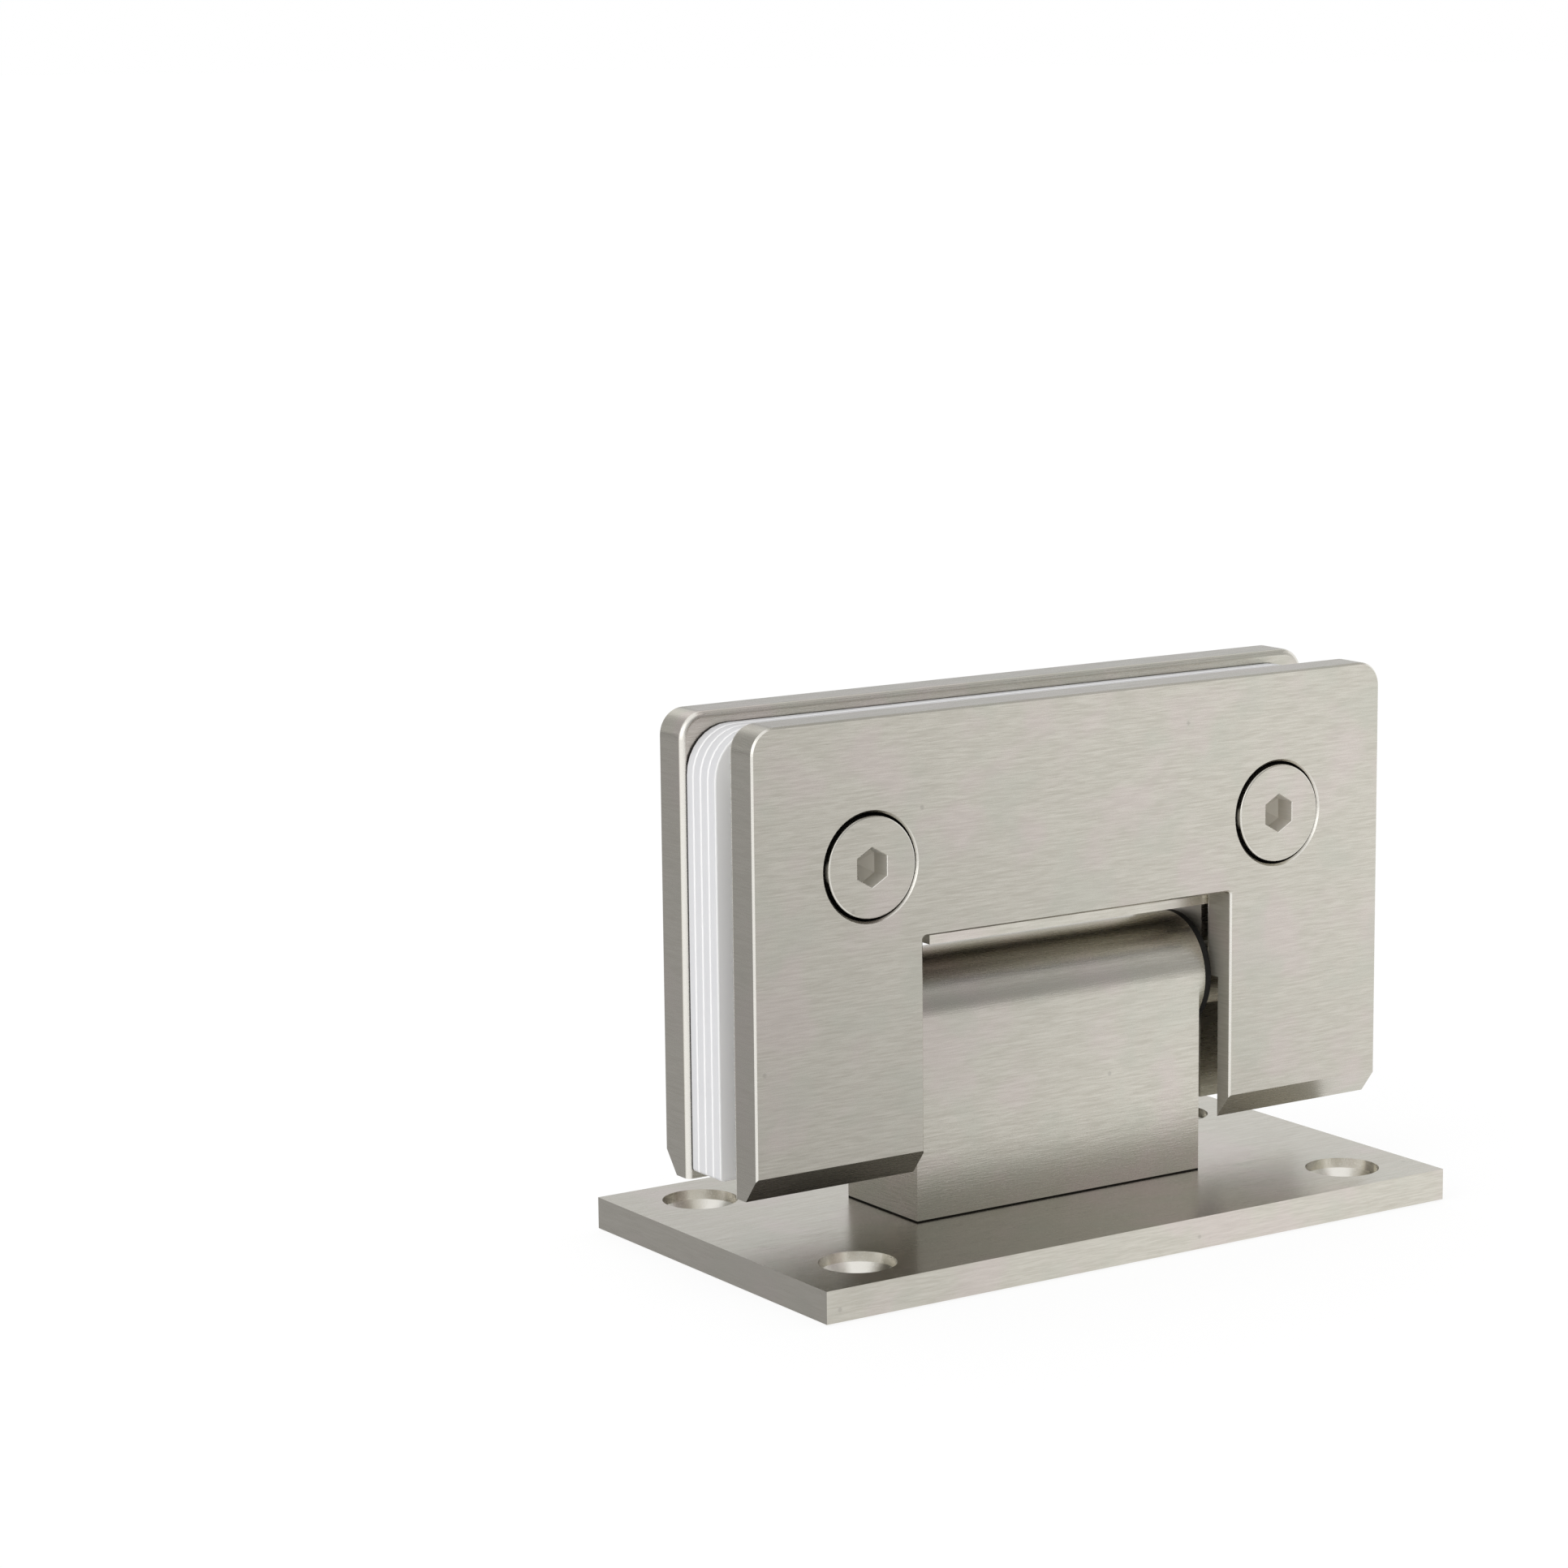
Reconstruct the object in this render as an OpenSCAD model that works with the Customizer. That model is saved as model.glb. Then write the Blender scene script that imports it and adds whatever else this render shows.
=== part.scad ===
// Wall-to-glass door hinge. A fixed wall plate with a hinge block on it, and a pair of
// clamp plates that grip the glass and swing about a pin through the block.
// X runs along the pin, -Y is the front with the clamp screws, Z goes up from the wall plate's
// underside. The origin is the middle of that underside.

/* [Wall plate] */
// Length of the wall plate along the pin
plate_len = 89; // [80:0.5:110]
// Width of the wall plate
plate_wid = 48.8; // [42:0.2:60]
// Thickness of the wall plate
plate_t = 3.75; // [3.5:0.05:5]
// Distance between the fixing holes along the pin
hole_pitch_x = 70.4; // [66:0.2:72]
// Distance between the fixing holes across the pin
hole_pitch_y = 33.2; // [30:0.2:35]
// Diameter of the countersink at the plate's face
csk_d = 8.9; // [8:0.1:9.5]
// Depth of the straight lead above the countersink's cone
csk_lead = 1.2; // [0.5:0.1:1.2]
// Diameter of the through hole
hole_d = 4.8; // [4:0.1:5.5]

/* [Hinge block] */
// Length of the block along the pin, without its end bosses
block_len = 41.1; // [40:0.1:42]
// Depth of the block from front to back, also the diameter of its round top
block_dep = 14.3; // [13.6:0.1:15]
// Height of the pivot axis above the wall plate's underside
pivot_h = 27.14; // [26:0.01:30]
// How far the left end boss stands proud of the block
boss_t = 0.65; // [0.5:0.05:0.8]
// How far the right end boss stands proud of the block
boss_right_t = 0.95; // [0.8:0.05:1.2]
// Diameter of the bush bores
bush_od = 10; // [9.4:0.1:10.4]
// Length of each bush
bush_len = 8.5; // [6:0.1:8.6]

/* [Pin and springs] */
// Diameter of the pivot pin's journals
pin_d = 7; // [6.4:0.1:7.4]
// Distance across the flats at the middle of the pin
pin_flats = 6.1; // [5.6:0.1:6.2]
// Length of the stretch with flats
cam_len = 10; // [8:0.5:12]
// Diameter of the pin's necks beside the flats
neck_d = 5.6; // [5:0.1:5.6]
// Length of the spring leaves along the pin
spring_len = 22.6; // [20:0.2:22.8]
// Width of the spring leaves
spring_wid = 9; // [7:0.2:9.2]
// Thickness of one spring leaf
spring_t = 0.8; // [0.6:0.05:1]
// Number of spring leaves that the seat is made for
spring_n = 3; // [3:1:3]
// Depth of the hollow under the leaves that lets them bend
spring_dip = 1.2; // [0.8:0.1:2]
// Thickness of the thrust washer
washer_t = 0.8; // [0.6:0.05:1.2]
// Diameter of the thrust washer
washer_d = 14.3; // [12:0.1:14.3]

/* [Clamp plates] */
// Width of the clamp plates
clamp_w = 90; // [86:0.5:96]
// Height of the clamp plates
clamp_h = 53.75; // [52:0.25:60]
// Thickness of each clamp plate
clamp_t = 4.8; // [4.6:0.05:5.2]
// Gap between the two clamp plates
jaw = 9.78; // [9.6:0.02:10.6]
// Height of the clamp plates' lower edge, measured from the pivot axis
clamp_z = -17.14; // [-18:0.02:-16.5]
// Height of the cut-out in both clamp plates
cut_h = 27.93; // [27.5:0.01:29]
// Radius of the upper outer corners
corner_r = 3; // [2:0.1:5]
// Radius in the upper corners of the cut-out
cut_r = 0.4; // [0.3:0.1:1.5]
// Height of the bevel along the lower outer edge
bevel_h = 2.98; // [2:0.02:3.6]
// Depth of that bevel
bevel_d = 2.34; // [1.6:0.02:3]
// Size of the small chamfer round the outer face
edge_c = 0.22; // [0.1:0.02:0.4]
// Radius of the rounded edge towards the glass
inner_r = 0.7; // [0.4:0.1:1]
// Depth of the relief channels inside the front plate's arms
relief_t = 2.47; // [1.5:0.01:2.47]
// Width of the relief channels
relief_w = 14; // [12:0.5:16]

/* [Lugs and cross bar] */
// Width of each lug along the pin
lug_w = 9; // [8:0.1:9.5]
// Gap between the front clamp plate and the lugs
lug_gap = 0.83; // [0.6:0.01:1.2]
// How far the lugs reach below the pivot axis
lug_drop = 15.4; // [13:0.1:16.4]
// Radius of the round hub on each lug
hub_r = 5.6; // [5:0.1:5.7]
// How far the right lug's hub stands proud of it, towards the thrust washer
hub_proud = 0.9; // [0.5:0.05:1.2]
// Clearance of the hub in the front plate's groove
hub_gap = 0.4; // [0.3:0.05:0.5]
// Height of the cross bar's top above the pivot axis
bar_top = 12.86; // [12.5:0.01:13]
// Height of the cross bar's underside above the pivot axis
bar_low = 8.55; // [8.3:0.01:9]
// Distance from the left lug to the cross bar's free end
bar_short = 4.2; // [3:0.1:6]
// Gap between the cross bar and the front clamp plate
bar_gap = 0.05; // [0.02:0.01:0.3]

/* [Gaskets] */
// Thickness of one gasket layer
gasket_t = 1.55; // [1:0.05:1.8]
// How far the gaskets stay inside the plates' side edges
gasket_side = 0.5; // [0.3:0.1:2]
// How far the gaskets stay below the plates' upper edge
gasket_top = 1.45; // [0.5:0.05:3]
// How far the gaskets stay above the plates' lower edge
gasket_low = 0.9; // [0.3:0.1:3]
// Radius of the gaskets' upper corners
gasket_r = 5.5; // [3:0.1:7]
// Clearance of the gaskets round the lugs
gasket_gap = 0.8; // [0.4:0.1:1]
// Diameter of the gaskets' screw holes
gasket_hole_d = 7.4; // [6.8:0.1:7.8]

/* [Screws] */
// Distance of the clamp screws from the middle of the leaf
screw_x = 29.31; // [28:0.01:31]
// Height of the clamp screws above the plates' lower edge
screw_up = 36.74; // [36.5:0.01:38]
// Diameter of the clamp screws' heads
head_d = 11.7; // [10:0.1:12]
// Thickness of the clamp screws' heads
head_t = 2.3; // [2:0.05:2.6]
// How far the heads stand proud of the front plate
head_proud = 0.25; // [0:0.05:0.5]
// Diameter of the counterbores
counterbore_d = 12.45; // [12.1:0.05:13]
// Chamfer at the mouth of the counterbores
counterbore_c = 0.25; // [0.1:0.05:0.4]
// Thread diameter of the clamp screws
clamp_thread_d = 6; // [5:0.1:6]
// Depth of the blind threaded holes in the back plate
thread_depth = 4; // [3:0.1:4.2]
// Across flats of the clamp screws' hex sockets
clamp_key = 4; // [3:0.5:4]
// Depth of those hex sockets
clamp_key_t = 2.6; // [1.5:0.1:3]
// Distance of the block screws from the middle of the block
block_screw_x = 16.2; // [15.4:0.1:16.6]
// Thread diameter of the block screws
block_screw_d = 5; // [4:0.5:5]
// Length of the block screws
block_screw_len = 16; // [12:1:17]
// Head diameter of the block screws
block_head_d = 9.6; // [8.8:0.1:10]
// Across flats of the block screws' hex sockets
block_key = 3; // [2.5:0.5:3]
// Thread diameter of the set screws that lock the pin
set_d = 4; // [3:0.5:4]
// Length of those set screws
set_len = 4; // [3:0.1:4]
// Across flats of the set screws' hex sockets
set_key = 2; // [1.5:0.5:2]

/* [Clearances] */
// Radial running clearance between the pin and its bushes
run_gap = 0.05; // [0.02:0.01:0.08]
// Radial gap left round threads and pressed pieces
fit_gap = 0.03; // [0.02:0.01:0.05]
// End play between the bosses, the washer and the lugs
end_play = 0.03; // [0.02:0.01:0.1]
// Gap round the spring seat in its pocket
seat_gap = 0.1; // [0.05:0.05:0.3]

/* [Hidden] */

STEEL = "#b8b4aa";
SPRING_STEEL = "#8d9094";
NYLON = "#2b2b2b";
VINYL = "#f2f2f2";
BRASS = "#b9a15a";

// Overshoot of cutting shapes
e = 0.5;
// Overshoot of the sections carried along edges, less than the smallest corner radius
edge_e = 0.25;
// Segments of round shapes
$fn = 64;

// Block and its bosses
block_half = block_len / 2;
boss_left = block_half + boss_t;
boss_right = block_half + boss_right_t;
barrel_r = block_dep / 2;

// The leaf sits off the block's middle, because the only washer is on its right
washer_x = boss_right + end_play;
hub_x = washer_x + washer_t + end_play;
wall_left = boss_left + end_play;
wall_right = hub_x + hub_proud;
cut_half = (wall_left + wall_right) / 2;
leaf_x = (wall_right - wall_left) / 2;
lug_out = cut_half + lug_w;

// Faces of the clamp plates, whose heights follow the pivot
jaw_half = jaw / 2;
clamp_low = pivot_h + clamp_z;
clamp_top = clamp_low + clamp_h;
cut_top = clamp_low + cut_h;
screw_z = clamp_low + screw_up;

// Lugs and cross bar
lug_front = jaw_half - lug_gap;
lug_low = pivot_h - lug_drop;
carrier_top = pivot_h + bar_top;
bar_under = pivot_h + bar_low;

// Pin and springs
bush_left_x = boss_left - bush_len;
bush_right_x = boss_right - bush_len;
flat_half = pin_flats / 2;
pocket_len = spring_len + 2 * seat_gap;
pocket_wid = spring_wid + 2 * seat_gap;
spring_top = pivot_h - flat_half;
spring_low = spring_top - spring_n * spring_t;
dip_len = cam_len + 4;
pin_chamfer = 0.5;
lock_flat = 0.3;

// Clamp screws
seat_depth = head_t - head_proud;
screw_reach = jaw + clamp_t - seat_depth + thread_depth - 0.3;
hex = 2 / sqrt(3);

// Block screws
block_head_t = (block_head_d - block_screw_d) / 2;
block_csk_r = block_head_d / 2 + 0.2;

// Plain helpers

// A round bar along X from x0 to x1, about the pivot axis
module x_bar(r, x0, x1) {
    translate([x0, 0, pivot_h])
        rotate([0, 90, 0])
            cylinder(r = r, h = x1 - x0);
}

// A box that is centred front to back about the pivot
module x_box(x0, x1, half, z0, z1) {
    translate([x0, -half, z0])
        cube([x1 - x0, 2 * half, z1 - z0]);
}

// Puts its children at the middle of the leaf
module at_leaf() {
    translate([leaf_x, 0, 0])
        children();
}

// Wall side

module fixing_hole() {
    cone_t = (csk_d - hole_d) / 2;
    translate([0, 0, -e])
        cylinder(d = hole_d, h = plate_t + 2 * e);
    translate([0, 0, plate_t - csk_lead])
        cylinder(d = csk_d, h = csk_lead + e);
    translate([0, 0, plate_t - csk_lead - cone_t])
        cylinder(d1 = hole_d, d2 = csk_d, h = cone_t);
}

// Hole for one block screw, countersunk from below
module block_screw_hole() {
    translate([0, 0, -e])
        cylinder(r = block_screw_d / 2 + 0.25, h = plate_t + 2 * e);
    translate([0, 0, -e])
        cylinder(r1 = block_csk_r + e, r2 = block_screw_d / 2, h = block_csk_r + e - block_screw_d / 2);
}

module wall_plate() {
    color(STEEL)
        difference() {
            translate([-plate_len / 2, -plate_wid / 2, 0])
                cube([plate_len, plate_wid, plate_t]);
            for (sx = [-1, 1], sy = [-1, 1])
                translate([sx * hole_pitch_x / 2, sy * hole_pitch_y / 2, 0])
                    fixing_hole();
            for (sx = [-1, 1])
                translate([sx * block_screw_x, 0, 0])
                    block_screw_hole();
        }
}

module hinge_block() {
    color(STEEL)
        difference() {
            union() {
                x_box(-block_half, block_half, barrel_r, plate_t, pivot_h);
                x_bar(barrel_r, -boss_left, boss_right);
            }
            x_bar(pin_d / 2 + 0.7, -boss_left - e, boss_right + e);
            x_bar(bush_od / 2 + fit_gap, -boss_left - e, -bush_left_x + fit_gap);
            x_bar(bush_od / 2 + fit_gap, bush_right_x - fit_gap, boss_right + e);
            x_box(-pocket_len / 2, pocket_len / 2, pocket_wid / 2, plate_t - e, pivot_h);
            x_bar(pocket_wid / 2, -pocket_len / 2, pocket_len / 2);
            for (sx = [-1, 1])
                translate([sx * block_screw_x, 0, plate_t - e])
                    cylinder(r = block_screw_d / 2 + fit_gap, h = block_screw_len - plate_t + 1 + e);
        }
}

// Mirrors its children to the left when side is -1
module scale_x(side) {
    if (side < 0)
        mirror([1, 0, 0])
            children();
    else
        children();
}

module block_screw(side) {
    color(SPRING_STEEL)
        translate([side * block_screw_x, 0, 0])
            difference() {
                union() {
                    translate([0, 0, fit_gap])
                        cylinder(r1 = block_head_d / 2, r2 = block_screw_d / 2, h = block_head_t);
                    translate([0, 0, 1])
                        cylinder(d = block_screw_d, h = block_screw_len - 1 - 0.5);
                    translate([0, 0, block_screw_len - 0.5])
                        cylinder(d1 = block_screw_d, d2 = block_screw_d - 1, h = 0.5);
                }
                translate([0, 0, -e])
                    rotate([0, 0, 30])
                        cylinder(d = block_key * hex, h = 2 + e, $fn = 6);
            }
}

// A bush from x0 to x1
module bush(x0, x1) {
    color(NYLON)
        difference() {
            x_bar(bush_od / 2, x0, x1);
            x_bar(pin_d / 2 + run_gap, x0 - e, x1 + e);
        }
}

// Carries the leaves on its two end lands
module spring_seat() {
    color(BRASS)
        difference() {
            x_box(-spring_len / 2, spring_len / 2, spring_wid / 2, plate_t, spring_low);
            x_box(-dip_len / 2, dip_len / 2, spring_wid / 2 + e, spring_low - spring_dip, spring_low + e);
        }
}

module spring_leaf(i) {
    color(SPRING_STEEL)
        x_box(-spring_len / 2, spring_len / 2, spring_wid / 2,
            spring_top - i * spring_t, spring_top - (i - 1) * spring_t);
}

// Leaf side

// Outline of a clamp plate, seen from the front
module clamp_outline() {
    difference() {
        union() {
            translate([-clamp_w / 2, clamp_low])
                square([clamp_w, clamp_h - corner_r]);
            translate([-clamp_w / 2 + corner_r, clamp_low])
                square([clamp_w - 2 * corner_r, clamp_h]);
            for (side = [-1, 1])
                translate([side * (clamp_w / 2 - corner_r), clamp_top - corner_r])
                    circle(r = corner_r);
        }
        translate([-cut_half, clamp_low - e])
            square([2 * cut_half, cut_h - cut_r + e]);
        translate([-cut_half + cut_r, clamp_low - e])
            square([2 * (cut_half - cut_r), cut_h + e]);
        for (side = [-1, 1])
            translate([side * (cut_half - cut_r), cut_top - cut_r])
                circle(r = cut_r);
    }
}

// Section of a chamfer: first axis runs into the plate, second one through its thickness
module chamfer_section(c) {
    polygon([[-edge_e, -edge_e], [c + edge_e, -edge_e], [-edge_e, c + edge_e]]);
}

// Section of a rounded edge, on the same axes
module round_section(r) {
    difference() {
        translate([-edge_e, -edge_e])
            square(r + edge_e);
        translate([r, r])
            circle(r = r, $fn = 24);
    }
}

// Carries a section round the outline of a clamp plate, along its face at y = 0
module edge_sweep() {
    side_run = clamp_h - corner_r + e;
    wall_run = cut_h - cut_r + e;
    // Straight runs: place, direction and length
    runs = [
        [-clamp_w / 2, clamp_low - e, 0, side_run],
        [-clamp_w / 2 + corner_r, clamp_top, 90, clamp_w - 2 * corner_r],
        [clamp_w / 2, clamp_top - corner_r, 180, side_run],
        [cut_half, clamp_low - e, 0, wall_run],
        [cut_half - cut_r, cut_top, -90, 2 * (cut_half - cut_r)],
        [-cut_half, cut_top - cut_r, 180, wall_run]
    ];
    for (run = runs)
        translate([run[0], 0, run[1]])
            rotate([0, run[2], 0])
                linear_extrude(run[3])
                    children();
    for (side = [-1, 1])
        scale_x(side) {
            translate([clamp_w / 2 - corner_r, 0, clamp_top - corner_r])
                rotate([-90, 0, 0])
                    rotate([0, 0, -90])
                        rotate_extrude(angle = 90)
                            translate([corner_r, 0])
                                mirror([1, 0])
                                    children();
            translate([cut_half - cut_r, 0, cut_top - cut_r])
                rotate([-90, 0, 0])
                    rotate([0, 0, -90])
                        rotate_extrude(angle = 90)
                            translate([cut_r, 0])
                                children();
        }
}

// A bare clamp plate on the front side: outline, bevel, chamfered outer and rounded inner edges
module clamp_blank() {
    outer = jaw_half + clamp_t;
    difference() {
        translate([0, -jaw_half, 0])
            rotate([90, 0, 0])
                linear_extrude(clamp_t)
                    clamp_outline();
        translate([-clamp_w / 2 - e, -outer, clamp_low])
            rotate([90, 0, 90])
                linear_extrude(clamp_w + 2 * e)
                    polygon([[-e, -e], [bevel_d * (1 + e / bevel_h), -e], [bevel_d, 0], [0, bevel_h],
                        [-e, bevel_h * (1 + e / bevel_d)]]);
        translate([0, -outer, 0])
            edge_sweep()
                chamfer_section(edge_c);
        translate([0, -jaw_half, 0])
            mirror([0, 1, 0])
                edge_sweep()
                    round_section(inner_r);
    }
}

// A round bar along Y from y0 to y1, at the clamp screw on one side of the leaf
module y_bar(side, r, y0, y1) {
    translate([side * screw_x, y0, screw_z])
        rotate([-90, 0, 0])
            cylinder(r = r, h = y1 - y0);
}

module front_clamp_plate() {
    outer = jaw_half + clamp_t;
    color(STEEL)
        at_leaf()
            difference() {
                clamp_blank();
                for (side = [-1, 1]) {
                    y_bar(side, clamp_thread_d / 2 + 0.3, -outer - e, -jaw_half + e);
                    y_bar(side, counterbore_d / 2, -outer - e, -outer + seat_depth);
                    translate([side * screw_x, -outer - e, screw_z])
                        rotate([-90, 0, 0])
                            cylinder(r1 = counterbore_d / 2 + counterbore_c + e,
                                r2 = counterbore_d / 2, h = counterbore_c + e);
                    scale_x(side) {
                        translate([cut_half - e, -jaw_half - relief_t, clamp_low - e])
                            cube([relief_w + e, relief_t + e, pivot_h - clamp_low + e]);
                        x_bar(hub_r + hub_gap, cut_half - e, lug_out + hub_gap);
                    }
                }
            }
}

// A lug with its hub, on the right
module lug() {
    translate([cut_half, -lug_front, lug_low])
        cube([lug_w, lug_front + jaw_half + 1, carrier_top - lug_low]);
    x_bar(hub_r, cut_half, lug_out);
}

module back_clamp_plate() {
    color(STEEL)
        at_leaf()
            difference() {
                union() {
                    mirror([0, 1, 0])
                        clamp_blank();
                    for (side = [-1, 1])
                        scale_x(side)
                            lug();
                    x_bar(hub_r, cut_half - hub_proud, cut_half + 1);
                    translate([-cut_half + bar_short, -jaw_half + bar_gap, bar_under])
                        cube([2 * cut_half - bar_short + e, jaw - bar_gap, carrier_top - bar_under]);
                }
                for (side = [-1, 1]) {
                    y_bar(side, clamp_thread_d / 2 + fit_gap, 0, jaw_half + thread_depth);
                    scale_x(side)
                        x_bar(pin_d / 2 + fit_gap, cut_half - hub_proud - e, lug_out + e);
                    translate([side * (cut_half + lug_w / 2), 0, lug_low - e])
                        cylinder(r = set_d / 2 + fit_gap, h = lug_drop - pin_d / 2 + 1);
                }
            }
}

// Outline of a gasket: rounded upper corners and a notch that clears the lugs
module gasket_outline() {
    half = clamp_w / 2 - gasket_side;
    low = clamp_low + gasket_low;
    high = clamp_top - gasket_top;
    difference() {
        union() {
            translate([-half, low])
                square([2 * half, high - gasket_r - low]);
            translate([-half + gasket_r, low])
                square([2 * (half - gasket_r), high - low]);
            for (side = [-1, 1])
                translate([side * (half - gasket_r), high - gasket_r])
                    circle(r = gasket_r);
        }
        translate([-lug_out - gasket_gap, low - e])
            square([2 * (lug_out + gasket_gap), carrier_top + gasket_gap - low + e]);
        for (side = [-1, 1])
            translate([side * screw_x, screw_z])
                circle(d = gasket_hole_d);
    }
}

// Gasket layer i, counted from the back plate
module gasket(i) {
    color(VINYL)
        translate([leaf_x, jaw_half - (i - 1) * gasket_t, 0])
            rotate([90, 0, 0])
                linear_extrude(gasket_t)
                    gasket_outline();
}

module clamp_screw(side) {
    outer = jaw_half + clamp_t;
    face = -outer - head_proud;
    seat = -outer + seat_depth;
    color(STEEL)
        at_leaf()
            difference() {
                union() {
                    y_bar(side, head_d / 2, face + 0.12, seat);
                    translate([side * screw_x, face, screw_z])
                        rotate([-90, 0, 0])
                            cylinder(r1 = head_d / 2 - 0.12, r2 = head_d / 2, h = 0.12);
                    y_bar(side, clamp_thread_d / 2, seat - 0.5, seat + screw_reach);
                }
                translate([side * screw_x, face - e, screw_z])
                    rotate([-90, 0, 0])
                        rotate([0, 0, 30])
                            cylinder(d = clamp_key * hex, h = clamp_key_t + e, $fn = 6);
            }
}

module pivot_pin() {
    reach = lug_out - pin_chamfer;
    color(SPRING_STEEL)
        difference() {
            union() {
                at_leaf() {
                    x_bar(pin_d / 2, -reach, -bush_left_x - leaf_x);
                    x_bar(pin_d / 2, bush_right_x - leaf_x, reach);
                    for (side = [-1, 1])
                        translate([side * reach, 0, pivot_h])
                            rotate([0, side * 90, 0])
                                cylinder(r1 = pin_d / 2, r2 = pin_d / 2 - pin_chamfer, h = pin_chamfer);
                }
                x_bar(neck_d / 2, -bush_left_x - 1, bush_right_x + 1);
                intersection() {
                    x_bar(pin_d / 2, -cam_len / 2, cam_len / 2);
                    x_box(-cam_len / 2, cam_len / 2, flat_half, pivot_h - flat_half, pivot_h + flat_half);
                }
            }
            at_leaf()
                for (side = [-1, 1])
                    scale_x(side)
                        translate([cut_half, -pin_d, pivot_h - pin_d])
                            cube([lug_w + e, 2 * pin_d, pin_d / 2 + lock_flat]);
        }
}

module thrust_washer() {
    color(NYLON)
        difference() {
            x_bar(washer_d / 2, washer_x, washer_x + washer_t);
            x_bar(pin_d / 2 + run_gap, washer_x - e, washer_x + washer_t + e);
        }
}

module pin_screw(side) {
    top = pivot_h - pin_d / 2 + lock_flat;
    color(SPRING_STEEL)
        at_leaf()
            translate([side * (cut_half + lug_w / 2), 0, top - set_len])
                difference() {
                    cylinder(d = set_d, h = set_len);
                    translate([0, 0, -e])
                        rotate([0, 0, 30])
                            cylinder(d = set_key * hex, h = set_len / 2 + e, $fn = 6);
                }
}

wall_plate();
hinge_block();
block_screw(-1);  // block_screw_left
block_screw(1);  // block_screw_right
bush(-boss_left, -bush_left_x);  // bush_left
bush(bush_right_x, boss_right);  // bush_right
spring_seat();
spring_leaf(1);  // spring_leaf_1
spring_leaf(2);  // spring_leaf_2
spring_leaf(3);  // spring_leaf_3
back_clamp_plate();
front_clamp_plate();
gasket(1);  // gasket_1
gasket(2);  // gasket_2
gasket(3);  // gasket_3
gasket(4);  // gasket_4
clamp_screw(-1);  // clamp_screw_left
clamp_screw(1);  // clamp_screw_right
pivot_pin();
thrust_washer();
pin_screw(-1);  // pin_screw_left
pin_screw(1);  // pin_screw_right
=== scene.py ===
# %% [markdown]
# A wall-to-glass door hinge in brushed metal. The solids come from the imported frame, at their
# real size and place, so this lesson is about finish: how brushed metal gets its direction, how a
# stack of white sheets shows its seams, how a turned screw gets its socket and thread, and how
# the light is laid out so that flat plates read as metal and not as grey paint.
# %% Frame
import math

import bpy
import numpy as np
from mathutils import Matrix, Vector
from mathutils.geometry import tessellate_polygon


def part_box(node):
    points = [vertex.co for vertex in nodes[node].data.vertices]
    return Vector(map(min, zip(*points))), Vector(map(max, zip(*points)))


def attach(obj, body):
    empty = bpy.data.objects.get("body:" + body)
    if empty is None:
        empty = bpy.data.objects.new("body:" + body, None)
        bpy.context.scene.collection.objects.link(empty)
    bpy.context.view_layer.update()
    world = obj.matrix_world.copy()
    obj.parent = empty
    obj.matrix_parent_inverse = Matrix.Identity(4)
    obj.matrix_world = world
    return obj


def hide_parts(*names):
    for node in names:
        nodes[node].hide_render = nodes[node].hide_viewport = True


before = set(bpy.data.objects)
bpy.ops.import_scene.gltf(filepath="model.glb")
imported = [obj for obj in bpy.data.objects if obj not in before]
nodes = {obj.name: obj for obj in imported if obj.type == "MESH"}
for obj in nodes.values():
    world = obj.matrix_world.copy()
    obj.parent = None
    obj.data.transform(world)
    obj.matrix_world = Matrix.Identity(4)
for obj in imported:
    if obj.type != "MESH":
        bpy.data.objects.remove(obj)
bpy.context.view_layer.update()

# %% [markdown]
# The camera stands where the photo's camera stood. Its turn, height and focal length were found by
# matching corners, holes and screws; here they are plain numbers in millimetres and degrees. The
# optical axis does not pass through the middle of the picture, and the shift puts that right.
# %% Camera
MM = 0.001
SENSOR_MM = 36
FRAME_PX = 1932
FOCAL_PX = 5388.12
CENTRE_PX = (1196.67, 1042.42)
TURN, RISE, ROLL = math.radians(35.31), math.radians(10.52), math.radians(-0.212)
EYE = Vector((-297.058, -408.512, 138.401)) * MM


def look_axes(turn, rise, roll):
    """Right, up and forward: forward is turned from +Y towards +X and dips, then all roll about it."""
    forward = Vector((math.sin(turn) * math.cos(rise), math.cos(turn) * math.cos(rise), -math.sin(rise)))
    right = Vector((math.cos(turn), -math.sin(turn), 0))
    up = right.cross(forward)
    return (math.cos(roll) * right + math.sin(roll) * up,
            -math.sin(roll) * right + math.cos(roll) * up, forward)


right, up, forward = look_axes(TURN, RISE, ROLL)
camera_data = bpy.data.cameras.new("camera")
camera_data.sensor_width = SENSOR_MM
camera_data.lens = FOCAL_PX / FRAME_PX * SENSOR_MM
camera_data.shift_x = (FRAME_PX / 2 - CENTRE_PX[0]) / FRAME_PX
camera_data.shift_y = (CENTRE_PX[1] - FRAME_PX / 2) / FRAME_PX
camera_data.clip_start = 0.01
camera = bpy.data.objects.new("camera", camera_data)
turned = Matrix((right, up, -forward)).transposed().to_4x4()
camera.matrix_world = Matrix.Translation(EYE) @ turned
bpy.context.scene.collection.objects.link(camera)
bpy.context.scene.camera = camera
shift = [round(value, 4) for value in (camera_data.shift_x, camera_data.shift_y)]
print("camera: lens", round(camera_data.lens, 2), "mm, shift", shift)

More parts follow.
